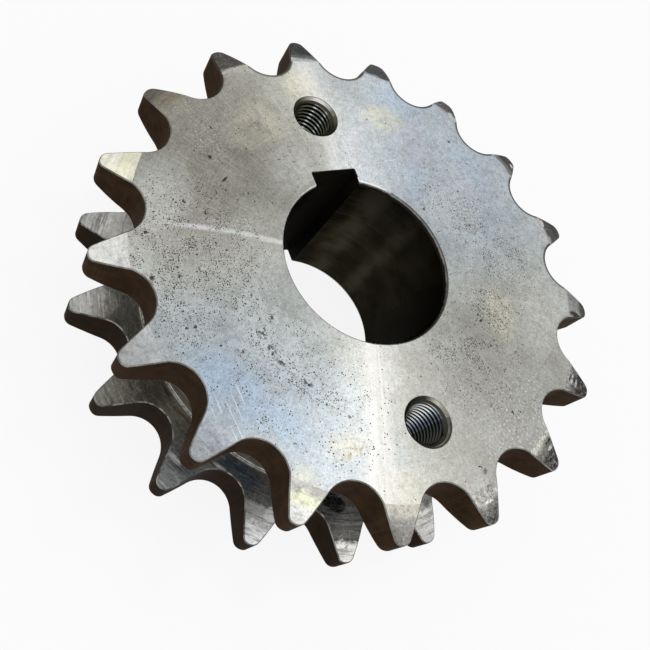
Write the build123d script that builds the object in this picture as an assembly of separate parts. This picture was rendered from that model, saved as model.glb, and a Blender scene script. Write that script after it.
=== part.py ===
from build123d import *
import os
from math import asin, degrees, radians, sin, tan

# Duplex chain sprocket, turned and toothed from one piece of steel.
# Sizes are millimetres and angles are degrees.
# The bore's axis is Z. The origin is the centre of the plain end of the hub, and the
# free face of the second row of teeth is the far end. The keyway lies towards +Y.

# The chain the teeth are cut for
CHAIN_PITCH = 25.4
ROLLER_DIAMETER = 15.88
ROW_SPACING = 29.29

# The teeth, as seen along the axis
TOOTH_COUNT = 17
FIRST_GAP_ANGLE = 5.98
SEAT_CLEARANCE = 0.16
SEATING_ANGLE = 123.0
FLANK_RADIUS = 140.0
TIP_ABOVE_PITCH = 5.4
TIP_ROUNDING = 2.2

# The teeth, as seen in the axial section
ROW_WIDTH = 12.5
BEVEL_ANGLE = 14.6
BEVEL_HEIGHT = 9.2
RELIEF_RADIUS = 37.0
RELIEF_HEIGHT = 13.0

# The body between the rows, and the hub that it forms behind them
GROOVE_BELOW_ROOT = 5.8
GROOVE_CORNER = 1.2
HUB_LENGTH = 6.21
HUB_CHAMFER = 1.0

# Bore and keyway
BORE_DIAMETER = 48.0
BORE_CHAMFER = 0.7
BORE_LEAD_IN = 1.3
KEYWAY_WIDTH = 14.0
KEYWAY_DEPTH = 3.8
KEYWAY_CORNER = 0.4

# Tapped holes, M12 x 1.5, left at the tapping drill's size. The first is near the keyway.
HOLE_COUNT = 2
FIRST_HOLE_ANGLE = -1.71
HOLE_CIRCLE = 92.0
HOLE_DRILL = 10.5
HOLE_MOUTH = 13.7

# How far a cutting shape runs past the surface it opens
PAST = 1.0

pitch_radius = CHAIN_PITCH / sin(radians(180 / TOOTH_COUNT)) / 2
seat_radius = ROLLER_DIAMETER / 2 + SEAT_CLEARANCE
root_radius = pitch_radius - seat_radius
tip_radius = pitch_radius + TIP_ABOVE_PITCH
hub_radius = root_radius - GROOVE_BELOW_ROOT

front_row_start = HUB_LENGTH + ROW_SPACING
overall_length = front_row_start + ROW_WIDTH


def gap_face():
    """One tooth gap on +Y: the roller's seat and a flank curving away on each side."""
    seat = CenterArc((0, pitch_radius), seat_radius, 270 - SEATING_ANGLE / 2, SEATING_ANGLE)
    flank_length = 1.5 * (tip_radius - root_radius)
    flank_turn = degrees(flank_length / FLANK_RADIUS)
    right = JernArc(seat @ 1, seat % 1, FLANK_RADIUS, -flank_turn)
    left = JernArc(seat @ 0, -(seat % 0), FLANK_RADIUS, flank_turn)
    return make_face(seat + right + left + Line(right @ 1, left @ 1))


def toothed_blank():
    """The outline of the teeth, their tips rounded, drawn out to the full length."""
    spaces = PolarLocations(0, TOOTH_COUNT, start_angle=FIRST_GAP_ANGLE, rotate=True)
    outline = Circle(tip_radius) - spaces * gap_face()
    tips = [v for v in outline.vertices() if Vector(v).length > tip_radius - TIP_ROUNDING / 2]
    return extrude(fillet(tips, TIP_ROUNDING), overall_length)


def row_section(start, outer_side_up):
    """Half section of one row: bevelled on its outer side, relieved beside the groove.

    The outer side faces up when outer_side_up is true, and otherwise faces down.
    """
    reach = tip_radius + PAST
    bevel_start = tip_radius - BEVEL_HEIGHT
    relief_start = tip_radius - RELIEF_HEIGHT
    bevel_drop = (reach - bevel_start) * tan(radians(BEVEL_ANGLE))
    relief_turn = degrees(asin((reach - relief_start) / RELIEF_RADIUS))
    relief = JernArc((relief_start, 0), (1, 0), RELIEF_RADIUS, relief_turn)
    rest = Polyline(
        relief @ 1,
        (reach, ROW_WIDTH - bevel_drop),
        (bevel_start, ROW_WIDTH),
        (0, ROW_WIDTH),
        (0, 0),
        relief @ 0,
    )
    row = make_face(relief + rest)
    if outer_side_up:
        return Pos(0, start) * row
    return Pos(0, start + ROW_WIDTH) * mirror(row, Plane.XZ)


def turned_solid():
    """The body as it leaves the lathe, before the teeth are cut."""
    core = Polyline(
        (0, 0),
        (hub_radius - HUB_CHAMFER, 0),
        (hub_radius, HUB_CHAMFER),
        (hub_radius, overall_length),
        (0, overall_length),
        close=True,
    )
    section = make_face(core)
    section += row_section(HUB_LENGTH, False)
    section += row_section(front_row_start, True)
    groove_end = front_row_start + ROW_WIDTH / 2
    corners = section.vertices().filter_by_position(Axis.Y, HUB_LENGTH + ROW_WIDTH / 2, groove_end)
    corners = [v for v in corners if abs(v.X - hub_radius) < GROOVE_CORNER / 2]
    return revolve(Plane.XZ * chamfer(corners, GROOVE_CORNER), Axis.Z)


def countersunk_hole(radius, mouth_radius, depth):
    """Cutter for a through hole on Z, widened to the mouth's radius at each end."""
    past_radius = mouth_radius + (mouth_radius - radius) * PAST / depth
    profile = Polyline(
        (0, -PAST),
        (past_radius, -PAST),
        (radius, depth),
        (radius, overall_length - depth),
        (past_radius, overall_length + PAST),
        (0, overall_length + PAST),
        close=True,
    )
    return revolve(Plane.XZ * make_face(profile), Axis.Z)


def keyway():
    """Cutter for the keyway, from the bore's axis to the key's seat, corners rounded."""
    height = BORE_DIAMETER / 2 + KEYWAY_DEPTH
    slot = Pos(0, height / 2) * Rectangle(KEYWAY_WIDTH, height)
    slot = fillet(slot.vertices().group_by(Axis.Y)[-1], KEYWAY_CORNER)
    return Pos(0, 0, -PAST) * extrude(slot, overall_length + 2 * PAST)


bore_radius = BORE_DIAMETER / 2
hole_radius = HOLE_DRILL / 2
mouth_radius = HOLE_MOUTH / 2
holes = PolarLocations(HOLE_CIRCLE / 2, HOLE_COUNT, start_angle=90 + FIRST_HOLE_ANGLE)

sprocket = toothed_blank() & turned_solid()
sprocket -= countersunk_hole(bore_radius, bore_radius + BORE_CHAMFER, BORE_LEAD_IN)
sprocket -= keyway()
sprocket -= holes * countersunk_hole(hole_radius, mouth_radius, mouth_radius - hole_radius)
sprocket = sprocket.solid()
sprocket.label = "sprocket"

os.makedirs("parts", exist_ok=True)
export_step(sprocket, "parts/sprocket.step")
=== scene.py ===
from math import atan2, ceil, cos, pi, radians, sin, sqrt, tan

import bmesh
import bpy
from mathutils import Matrix, Vector
from mathutils.geometry import delaunay_2d_cdt


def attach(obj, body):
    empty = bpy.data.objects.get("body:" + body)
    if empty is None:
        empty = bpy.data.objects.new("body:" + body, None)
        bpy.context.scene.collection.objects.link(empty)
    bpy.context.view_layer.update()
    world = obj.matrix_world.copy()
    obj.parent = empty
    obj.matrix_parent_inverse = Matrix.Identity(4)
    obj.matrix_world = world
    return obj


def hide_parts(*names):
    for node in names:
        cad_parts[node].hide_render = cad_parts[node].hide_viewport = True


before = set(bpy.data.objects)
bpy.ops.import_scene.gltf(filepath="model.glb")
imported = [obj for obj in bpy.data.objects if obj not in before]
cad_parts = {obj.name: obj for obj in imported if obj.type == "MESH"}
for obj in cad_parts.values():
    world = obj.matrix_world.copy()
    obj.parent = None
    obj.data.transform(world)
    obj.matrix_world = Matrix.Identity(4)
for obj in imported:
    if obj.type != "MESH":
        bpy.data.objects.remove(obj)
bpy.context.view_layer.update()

# Sizes of the duplex sprocket, in millimetres until a mesh is made. The bore's axis is Z, the
# hub's plain end is at z = 0, and the keyway lies towards +Y.
MM = 0.001
TEETH = 17
FIRST_GAP = radians(5.98)
CHAIN_PITCH = 25.4
PITCH_RADIUS = CHAIN_PITCH / sin(pi / TEETH) / 2
SEAT_RADIUS = 8.1
SEAT_HALF_TURN = radians(61.5)
FLANK_RADIUS = 140.0
TIP_RADIUS = PITCH_RADIUS + 5.395
TIP_ROUNDING = 2.2
BEVEL_START = TIP_RADIUS - 9.195
BEVEL_SLOPE = tan(radians(14.6))
BEVEL_DEPTH = 4.0
RELIEF_START = TIP_RADIUS - 13.0
RELIEF_RADIUS = 37.0
EDGE_BREAK = 0.28

HUB_RADIUS = PITCH_RADIUS - SEAT_RADIUS - 5.8
HUB_CHAMFER = 1.0
HUB_FILLET = 0.5
GROOVE_FILLET = 1.2
REAR_ROW = (6.21, 18.71)
FRONT_ROW = (35.5, 48.0)
TOP = FRONT_ROW[1]
FACE_RIM = HUB_RADIUS - HUB_CHAMFER

BORE_RADIUS = 24.0
BORE_MOUTH = 24.7
LEAD_IN_DEPTH = 1.3
BORE_BREAK = 0.22
KEY_HALF_WIDTH = 7.0
KEY_SEAT = 27.8
KEY_CORNER = 0.4
KEY_EDGE = 0.35

HOLE_CENTRE = 46.0
HOLE_TURNS = (radians(88.29), radians(268.29))
HOLE_MOUTH = 6.85
HOLE_WALL = 6.1
HOLE_BREAK = 0.1
THREAD_ROOT = 6.0
THREAD_CREST = 5.19
THREAD_PITCH = 1.5
THREAD_STEPS = 60

# Steps along each curve. The seat's are before and after the place where the bevel starts.
SEAT_STEPS = (11, 2)
FLANK_STEPS = 6
ROUNDING_STEPS = 7
TIP_STEPS = 2
BORE_STEPS = 96
KEY_EDGE_STEPS = 5
KEY_CORNER_STEPS = 4
HALVINGS = 50
# Two points of a flat face that are nearer than this are one
SAME_POINT = 1e-9

# The body's finishes, in the order of its material slots
FINISHES = (
    "turned_face", "bevelled_teeth", "broken_edge", "tooth_flank", "relieved_side",
    "groove_and_hub", "lead_in", "bore_wall", "keyway_wall", "countersink", "tapped_thread",
)
(
    FACE, BEVEL, EDGE, FLANK, RELIEF, GROOVE, LEAD_IN, BORE, KEYWAY, COUNTERSINK, THREAD,
) = range(len(FINISHES))


# ---- The outline of the teeth

def arc(centre, radius, start, end, steps, outward):
    """Points on an arc, each with the way out of the steel: +1 is away from the arc's centre."""
    made = []
    for k in range(steps + 1):
        turn = start + (end - start) * k / steps
        way = Vector((cos(turn), sin(turn)))
        made.append((Vector(centre) + radius * way, outward * way))
    return made


def circles_meet(a, radius_a, b, radius_b):
    """The higher of the two points where two circles cross."""
    across = (b - a).normalized()
    apart = (b - a).length
    along = (apart ** 2 + radius_a ** 2 - radius_b ** 2) / (2 * apart)
    aside = sqrt(radius_a ** 2 - along ** 2)
    both = [a + along * across + s * aside * Vector((-across.y, across.x)) for s in (-1, 1)]
    return max(both, key=lambda p: p.y)


def bevel_crossing(centre, low, high):
    """The turn at which the seat's broken edge crosses the circle where the bevel starts."""
    for _ in range(HALVINGS):
        middle = (low + high) / 2
        reach = centre + (SEAT_RADIUS + EDGE_BREAK) * Vector((cos(middle), sin(middle)))
        low, high = (low, middle) if reach.length > BEVEL_START else (middle, high)
    return middle


def half_gap():
    """The outline from the middle of a gap on +Y to the middle of the tooth on its right."""
    seat_centre = Vector((0, PITCH_RADIUS))
    bottom = -pi / 2
    seat_end = bottom + SEAT_HALF_TURN
    crossing = bevel_crossing(seat_centre, bottom, seat_end)
    leave = Vector((cos(seat_end), sin(seat_end)))
    flank_centre = seat_centre + (SEAT_RADIUS + FLANK_RADIUS) * leave
    corner = circles_meet(
        Vector((0, 0)), TIP_RADIUS - TIP_ROUNDING, flank_centre, FLANK_RADIUS - TIP_ROUNDING
    )
    to_corner = corner - flank_centre
    flank_start = atan2(-leave.y, -leave.x) % (2 * pi)
    flank_end = atan2(to_corner.y, to_corner.x) % (2 * pi)
    corner_turn = atan2(corner.y, corner.x)
    runs = [
        arc(seat_centre, SEAT_RADIUS, bottom, crossing, SEAT_STEPS[0], -1),
        arc(seat_centre, SEAT_RADIUS, crossing, seat_end, SEAT_STEPS[1], -1),
        arc(flank_centre, FLANK_RADIUS, flank_start, flank_end, FLANK_STEPS, 1),
        arc(corner, TIP_ROUNDING, flank_end, corner_turn, ROUNDING_STEPS, 1),
        arc((0, 0), TIP_RADIUS, corner_turn, pi / 2 - pi / TEETH, TIP_STEPS, 1),
    ]
    made = runs[0]
    for run in runs[1:]:
        made = made + run[1:]
    return made


def one_pitch():
    """The outline from mid-tooth to mid-tooth, through the gap on +Y."""
    right = half_gap()
    left = [(Vector((-p.x, p.y)), Vector((-n.x, n.y))) for p, n in right]
    return left[:0:-1] + right


# ---- The skin of one pitch

# How far the outer bevel of a tooth is dressed down at its tip. Teeth count from the first gap on.
TIP_WEAR = {0: 0.7, 1: 0.8, 11: 0.5, 12: 0.6, 13: 0.8, 14: 1.4, 15: 1.5}
# The tooth whose outer bevel leans to one side at its tip, and by how much
LEANING_TOOTH, LEANS_BY = 15, -1.3
# The tooth of the rear row whose tip is a little shorter, and by how much
SHORT_TOOTH, SHORT_BY, SHORT_FROM = 1, 1.0, 70.0
BEVEL_STEPS = 3
BREAK_TURNS = [radians(t) for t in (0, 30, 60, 90)]
RELIEF_STEPS = 5
FILLET_STEPS = 5
ROW_STRIPS = BEVEL_STEPS * [BEVEL] + 3 * [EDGE] + [FLANK] + 3 * [EDGE] + RELIEF_STEPS * [RELIEF]
PITCH_STRIPS = (
    [FACE] + ROW_STRIPS + [RELIEF] + (2 * FILLET_STEPS + 1) * [GROOVE]
    + [RELIEF] + ROW_STRIPS[::-1] + [RELIEF] + (FILLET_STEPS + 2) * [GROOVE]
)


def bevel_drop(r):
    return max(0.0, r - BEVEL_START) * BEVEL_SLOPE


def dressed(point):
    """Where a point of a tooth lies once its tip has been dressed."""
    tooth = int((atan2(point.y, point.x) - pi / 2 - FIRST_GAP) % (2 * pi) / (2 * pi) * TEETH)
    radius = point.xy.length / MM
    if point.z > (TOP - BEVEL_DEPTH) * MM:
        reach = max(0.0, (radius - BEVEL_START) / (TIP_RADIUS - BEVEL_START))
        aside = LEANS_BY * MM * reach if tooth == LEANING_TOOTH else 0.0
        round_axis = Vector((-point.y, point.x, 0)).normalized()
        return point + aside * round_axis - Vector((0, 0, TIP_WEAR.get(tooth, 0) * MM * reach ** 2))
    if point.z < REAR_ROW[1] * MM and tooth == SHORT_TOOTH and radius > SHORT_FROM:
        less = SHORT_BY * (radius - SHORT_FROM) / (TIP_RADIUS - SHORT_FROM)
        return Vector((*(point.xy * (1 - less / radius)), point.z))
    return point


def relief_drop(r):
    return RELIEF_RADIUS - sqrt(RELIEF_RADIUS ** 2 - max(0.0, r - RELIEF_START) ** 2)


def row_rings(point, out, unit, reach):
    """Where the row's skin lies at one outline point: (point, depth below the flat side)."""
    width = TOP - FRONT_ROW[0]
    rounding = [
        (point - EDGE_BREAK * (1 - sin(t)) * out, EDGE_BREAK * (1 - cos(t))) for t in BREAK_TURNS
    ]
    inner = min(BEVEL_START, reach)
    rings = []
    for k in range(BEVEL_STEPS):
        r = inner + (reach - inner) * k / BEVEL_STEPS
        rings.append((unit * r, bevel_drop(r)))
    rings += [(p, bevel_drop(p.length) + into) for p, into in rounding]
    rings += [(p, width - relief_drop(p.length) - into) for p, into in rounding[::-1]]
    flat = min(RELIEF_START, reach)
    for k in range(1, RELIEF_STEPS + 1):
        r = reach + (flat - reach) * k / RELIEF_STEPS
        rings.append((unit * r, width - relief_drop(r)))
    return rings


def hollow_corner(unit, side_z, way, radius):
    """Rings of the hollow corner between a side at side_z and the cylinder that leaves it."""
    made = []
    for k in range(FILLET_STEPS + 1):
        turn = pi / 2 * k / FILLET_STEPS
        r = HUB_RADIUS + radius * (1 - sin(turn))
        made.append((unit * r, side_z + way * radius * (1 - cos(turn))))
    return made


def pitch_skin():
    """Columns of rings round one pitch, from the front face to the hub's rear face."""
    columns = []
    for point, out in one_pitch():
        inner = point - EDGE_BREAK * out
        reach = inner.length
        unit = inner / reach
        row = row_rings(point, out, unit, reach)
        column = [(unit * FACE_RIM, TOP)]
        column += [(p, TOP - drop) for p, drop in row]
        column += hollow_corner(unit, FRONT_ROW[0], -1, GROOVE_FILLET)
        column += hollow_corner(unit, REAR_ROW[1], 1, GROOVE_FILLET)[::-1]
        column += [(p, REAR_ROW[0] + drop) for p, drop in row[::-1]]
        column += hollow_corner(unit, REAR_ROW[0], -1, HUB_FILLET)
        column += [(unit * HUB_RADIUS, HUB_CHAMFER), (unit * FACE_RIM, 0.0)]
        columns.append(column)
    return columns


# ---- Bore, keyway and tapped holes

class Skin:
    """Points, faces, the finish of each face, and whether the face is repeated at each tooth."""

    def __init__(self):
        self.points, self.faces, self.finishes, self.repeats = [], [], [], []

    def add(self, points):
        first = len(self.points)
        self.points += [(x * MM, y * MM, z * MM) for x, y, z in points]
        return range(first, first + len(points))

    def face(self, corners, finish, repeats=False):
        self.faces.append(corners)
        self.finishes.append(finish)
        self.repeats.append(repeats)

    def strip(self, a, b, finishes, closed, repeats=False):
        """Four-sided faces between two rows of points. Each has the finish of its place."""
        count = len(a)
        for k in range(count if closed else count - 1):
            n = (k + 1) % count
            self.face((a[k], a[n], b[n], b[k]), finishes[k], repeats)


def bore_loop(bore_radius, into_steel):
    """The bore with its keyway at one level, seen along the axis: points, and their finishes."""
    edge_x = KEY_HALF_WIDTH + KEY_EDGE
    edge_y = sqrt((bore_radius + KEY_EDGE) ** 2 - edge_x ** 2)
    edge_turn = atan2(edge_y, edge_x)
    inner_x, inner_y = KEY_HALF_WIDTH - KEY_CORNER, KEY_SEAT - KEY_CORNER
    round_bore = arc((0, 0), bore_radius, pi - edge_turn, 2 * pi + edge_turn, BORE_STEPS, -1)
    runs = [
        (arc((edge_x, edge_y), KEY_EDGE, edge_turn + pi, pi, KEY_EDGE_STEPS, 1), BORE, KEYWAY),
        (arc((inner_x, inner_y), KEY_CORNER, 0, pi / 2, KEY_CORNER_STEPS, -1), KEYWAY, KEYWAY),
        (arc((-inner_x, inner_y), KEY_CORNER, pi / 2, pi, KEY_CORNER_STEPS, -1), KEYWAY, KEYWAY),
        (arc((-edge_x, edge_y), KEY_EDGE, 0, -edge_turn, KEY_EDGE_STEPS, 1), BORE, BORE),
        (round_bore[1:-1], BORE, BORE),
    ]
    points, finishes = [], []
    for run, finish, after in runs:
        points += [p - into_steel * n for p, n in run]
        finishes += [finish] * (len(run) - 1) + [after]
    return points, finishes


def hole_loop(turn, radius):
    centre = HOLE_CENTRE * Vector((cos(turn), sin(turn)))
    return [p for p, _ in arc(centre, radius, 0, 2 * pi, THREAD_STEPS, -1)[:-1]]


def rim_loop(columns):
    """The rim that the flat faces share with the skin of all the pitches."""
    points = []
    for tooth in range(TEETH):
        turned = Matrix.Rotation(FIRST_GAP + tooth * 2 * pi / TEETH, 2)
        points += [turned @ column[0][0] for column in columns[:0:-1]]
    return points


def inside(point, loop):
    """Whether a loop goes round a point."""
    found = False
    for a, b in zip(loop, loop[1:] + loop[:1]):
        if (a.y > point.y) != (b.y > point.y):
            if point.x < a.x + (b.x - a.x) * (point.y - a.y) / (b.y - a.y):
                found = not found
    return found


def flat_face(skin, z, rows, finish):
    """The flat face at one end, between the rim and the loops of the bore and the holes."""
    loops = [[Vector(skin.points[i][:2]) for i in row] for row in rows]
    indices = [i for row in rows for i in row]
    flat = [p for loop in loops for p in loop]
    edges, first = [], 0
    for loop in loops:
        count = len(loop)
        edges += [(first + k, first + (k + 1) % count) for k in range(count)]
        first += count
    found = delaunay_2d_cdt(flat, edges, [], 0, SAME_POINT)
    points, triangles, sources = found[0], found[2], found[3]
    for triangle in triangles:
        middle = sum((points[k] for k in triangle), Vector((0, 0))) / 3
        if inside(middle, loops[0]) and not any(inside(middle, loop) for loop in loops[1:]):
            skin.face(tuple(indices[sources[k][0]] for k in triangle), finish)


def at_height(points, z):
    return [(p.x, p.y, z) for p in points]


def wall(skin, levels, finish_of):
    """Strips between loops at successive heights: levels holds (points, z) from the top down."""
    rows = [skin.add(at_height(points, z)) for points, z in levels]
    for k, (a, b) in enumerate(zip(rows, rows[1:])):
        skin.strip(a, b, finish_of(k), True)
    return rows[0], rows[-1]


def bore_and_keyway(skin):
    taper = (BORE_MOUTH - BORE_RADIUS) / LEAD_IN_DEPTH
    rounding = [radians(t) for t in (0, 45, 90)]
    mouth = []
    for turn in rounding:
        into, depth = BORE_BREAK * (1 - sin(turn)), BORE_BREAK * (1 - cos(turn))
        mouth.append((BORE_MOUTH - taper * depth, into, depth))
    mouth.append((BORE_RADIUS, 0.0, LEAD_IN_DEPTH))
    levels = [(bore_loop(r, into)[0], TOP - depth) for r, into, depth in mouth]
    levels += [(bore_loop(r, into)[0], depth) for r, into, depth in mouth[::-1]]
    plain = bore_loop(BORE_RADIUS, 0.0)[1]
    tapered = [LEAD_IN if finish == BORE else finish for finish in plain]
    broken = [EDGE] * len(plain)
    order = [broken, broken, tapered, plain, tapered, broken, broken]
    return wall(skin, levels, lambda k: order[k])


def hole_mouths(skin, turn):
    """The countersinks at both ends of a tapped hole, down to where its thread starts."""
    mouth = [
        (HOLE_MOUTH + HOLE_BREAK, 0.0),
        (HOLE_MOUTH - HOLE_BREAK / 2, HOLE_BREAK / 2),
        (HOLE_WALL, HOLE_MOUTH - HOLE_WALL),
    ]
    order = [EDGE, COUNTERSINK]
    rims = []
    for height in (lambda depth: TOP - depth, lambda depth: depth):
        levels = [(hole_loop(turn, r), height(depth)) for r, depth in mouth]
        rims.append(wall(skin, levels, lambda k: [order[k]] * THREAD_STEPS)[0])
    return rims


def body_mesh():
    """One pitch of the toothed skin, and the faces, bore, keyway and holes, which come once."""
    skin = Skin()
    columns = pitch_skin()
    rows = [skin.add([(p.x, p.y, z) for p, z in column]) for column in columns]
    for a, b in zip(rows, rows[1:]):
        skin.strip(a, b, PITCH_STRIPS, False, repeats=True)
    rim = rim_loop(columns)
    ends = [[skin.add(at_height(rim, z))] for z in (TOP, 0.0)]
    for made in [bore_and_keyway(skin)] + [hole_mouths(skin, turn) for turn in HOLE_TURNS]:
        for end, row in zip(ends, made):
            end.append(row)
    flat_face(skin, TOP, ends[0], FACE)
    flat_face(skin, 0.0, ends[1], GROOVE)
    mesh = bpy.data.meshes.new("one_pitch_and_core")
    mesh.from_pydata(skin.points, [], skin.faces)
    finish = mesh.attributes.new("finish", "INT", "FACE")
    finish.data.foreach_set("value", skin.finishes)
    repeats = mesh.attributes.new("repeats", "BOOLEAN", "FACE")
    repeats.data.foreach_set("value", skin.repeats)
    return mesh


# ---- Nodes written as expressions

def maths(operation, swapped=False):
    """A method that adds one Math node. Swapped is for a number on the wire's left."""
    if swapped:
        return lambda self, value: self.math(operation, value, self)
    return lambda self, *values: self.math(operation, self, *values)


class Wire:
    """An output socket. Arithmetic on it adds Math nodes to its tree."""

    def __init__(self, nodes, socket):
        self.nodes, self.socket = nodes, socket

    def math(self, operation, *values):
        return self.nodes.add("ShaderNodeMath", {"operation": operation}, dict(enumerate(values)))

    __add__ = __radd__ = maths("ADD")
    __mul__ = __rmul__ = maths("MULTIPLY")
    __sub__, __rsub__ = maths("SUBTRACT"), maths("SUBTRACT", True)
    __truediv__, __rtruediv__ = maths("DIVIDE"), maths("DIVIDE", True)
    __mod__ = maths("FLOORED_MODULO")
    __gt__, __lt__ = maths("GREATER_THAN"), maths("LESS_THAN")
    floor, abs, root = maths("FLOOR"), maths("ABSOLUTE"), maths("SQRT")
    cos, sin, turn_from_x = maths("COSINE"), maths("SINE"), maths("ARCTAN2")
    least, most = maths("MINIMUM"), maths("MAXIMUM")

    def other(self, name):
        return Wire(self.nodes, self.socket.node.outputs[name])

    def ramp(self, low, high):
        """0 at low and below, 1 at high and above, smooth between. Low may be the larger."""
        settings = {"interpolation_type": "SMOOTHSTEP"}
        return self.nodes.add("ShaderNodeMapRange", settings, {0: self, 1: low, 2: high})


class Nodes:
    """A node tree to which nodes are added one call at a time."""

    def __init__(self, tree):
        self.tree = tree

    def add(self, kind, settings=None, inputs=None, out=0):
        """A node of a type: its settings first, then the values or links of its sockets."""
        node = self.tree.nodes.new(kind)
        for name, value in (settings or {}).items():
            if name == "stops":
                set_stops(node.color_ramp, value)
            elif name == "constant":
                node.color_ramp.interpolation = "CONSTANT"
            else:
                setattr(node, name, value)
        for key, value in (inputs or {}).items():
            for one in value if isinstance(value, list) else [value]:
                if isinstance(one, Wire):
                    self.tree.links.new(one.socket, node.inputs[key])
                else:
                    node.inputs[key].default_value = one
        return Wire(self, node.outputs[out]) if node.outputs else None

    def split(self, vector):
        parts = self.add("ShaderNodeSeparateXYZ", {}, {0: vector})
        return parts, parts.other("Y"), parts.other("Z")

    def vector(self, x, y, z=0.0):
        return self.add("ShaderNodeCombineXYZ", {}, {"X": x, "Y": y, "Z": z})

    def round_z(self, radius, turn, z=0.0):
        return self.vector(radius * turn.cos(), radius * turn.sin(), z)


def emptied(owner):
    """The node tree of a material or a world, with nothing in it."""
    owner.use_nodes = True
    owner.node_tree.nodes.clear()
    return owner.node_tree


def set_stops(ramp, stops):
    while len(ramp.elements) < len(stops):
        ramp.elements.new(1.0)
    for element, (place, colour) in zip(ramp.elements, stops):
        element.position, element.color = place, colour


# ---- Geometry nodes

WELD = 2e-6
CREASE = radians(35)
ROWS_IN_A_PITCH = 4
SPARE_TURNS = 1
# The thread's flats and the flank between them, as shares of its pitch
ROOT_FLAT, CREST_FLAT = 1 / 8, 1 / 4
THREAD_FLANK = (1 - ROOT_FLAT - CREST_FLAT) / 2
THREAD_SIZES = (
    "Crest Radius", "Root Radius", "Wall Radius", "Pitch", "First Height", "Hole Length",
    "Mouth Radius", "Centre Radius", "First Hole",
)


def new_tree(name, sizes):
    """An empty geometry tree whose inputs are the mesh and each named size."""
    tree = bpy.data.node_groups.new(name, "GeometryNodeTree")
    tree.interface.new_socket("Geometry", in_out="INPUT", socket_type="NodeSocketGeometry")
    tree.interface.new_socket("Geometry", in_out="OUTPUT", socket_type="NodeSocketGeometry")
    for label, kind in sizes.items():
        tree.interface.new_socket(label, in_out="INPUT", socket_type="NodeSocket" + kind)
    nodes = Nodes(tree)
    given = nodes.add("NodeGroupInput")
    return nodes, {label: given.other(label) for label in ["Geometry", *sizes]}


def finish_tree(nodes, geometry):
    nodes.add("NodeGroupOutput", {}, {0: geometry})
    return nodes.tree


def welded(nodes, instances, distance):
    """Instances made real, and the seams between them welded."""
    real = nodes.add("GeometryNodeRealizeInstances", {}, {"Geometry": instances})
    sockets = {"Geometry": real, "Distance": distance}
    return nodes.add("GeometryNodeMergeByDistance", {}, sockets)


def whole_body_tree():
    """Repeats the skin of one pitch for every tooth, welds the seams and sets the finishes."""
    sizes = {"Teeth": "Int", "First Gap": "Float", "Weld": "Float"}
    sizes.update({finish: "Material" for finish in FINISHES})
    nodes, given = new_tree("toothed_body", sizes)
    repeats = nodes.add(
        "GeometryNodeInputNamedAttribute", {"data_type": "BOOLEAN"}, {"Name": "repeats"}
    )
    pitch = nodes.add(
        "GeometryNodeSeparateGeometry", {"domain": "FACE"},
        {"Geometry": given["Geometry"], "Selection": repeats},
    )
    places = nodes.add("GeometryNodePoints", {}, {"Count": given["Teeth"]})
    turn = nodes.add("GeometryNodeInputIndex") * (2 * pi) / given["Teeth"] + given["First Gap"]
    ring = nodes.add(
        "GeometryNodeInstanceOnPoints", {},
        {"Points": places, "Instance": pitch, "Rotation": nodes.vector(0.0, 0.0, turn)},
    )
    joined = nodes.add("GeometryNodeJoinGeometry", {}, {0: [ring, pitch.other("Inverted")]})
    body = welded(nodes, joined, given["Weld"])
    finish = nodes.add("GeometryNodeInputNamedAttribute", {"data_type": "INT"}, {"Name": "finish"})
    for number, name in enumerate(FINISHES):
        chosen = (finish - number).abs() < 0.5
        body = nodes.add(
            "GeometryNodeSetMaterial", {},
            {"Geometry": body, "Selection": chosen, "Material": given[name]},
        )
    return finish_tree(nodes, body)


def thread_tree():
    """A grid bent into a tapped wall whose rows follow the helix, held between the two cones."""
    sizes = {name: "Float" for name in THREAD_SIZES}
    sizes.update({"Steps": "Int", "Rows": "Int", "Holes": "Int", "Finish": "Material"})
    nodes, given = new_tree("tapped_wall", sizes)
    (
        crest, root, wall_radius, pitch, lowest, length, mouth, off_axis, first_turn,
        steps, rows, holes, finish,
    ) = list(given.values())[1:]
    grid = nodes.add("GeometryNodeMeshGrid", {}, {"Vertices X": steps + 1, "Vertices Y": rows})
    index = nodes.add("GeometryNodeInputIndex")
    step = (index / rows).floor()
    row = index - step * rows
    place = row % ROWS_IN_A_PITCH
    on_crest = place > 1.5
    across = (place > 0.5) * ROOT_FLAT + on_crest * THREAD_FLANK + (place > 2.5) * CREST_FLAT
    across = across - ROOT_FLAT / 2
    share = step / steps
    height = pitch * ((row / ROWS_IN_A_PITCH).floor() + across + share)
    height = height + lowest
    sink = mouth - wall_radius
    held = height.most(sink).least(length - sink)
    cone = mouth - held.least(length - held)
    groove = root + (crest - root) * on_crest
    radius = groove.most(cone)
    turn = share * (2 * pi)
    on_wall = nodes.round_z(radius, turn, held)
    bent = nodes.add("GeometryNodeSetPosition", {}, {"Geometry": grid, "Position": on_wall})
    round_body = index * (2 * pi) / holes + first_turn
    centre = nodes.round_z(off_axis, round_body)
    centres = nodes.add("GeometryNodePoints", {}, {"Count": holes, "Position": centre})
    walls = nodes.add("GeometryNodeInstanceOnPoints", {}, {"Points": centres, "Instance": bent})
    wall_of_both = welded(nodes, walls, WELD)
    finished = nodes.add(
        "GeometryNodeSetMaterial", {}, {"Geometry": wall_of_both, "Material": finish}
    )
    return finish_tree(nodes, finished)


def placed(name, data):
    """A new object in the scene."""
    thing = bpy.data.objects.new(name, data)
    bpy.context.scene.collection.objects.link(thing)
    return thing


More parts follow.
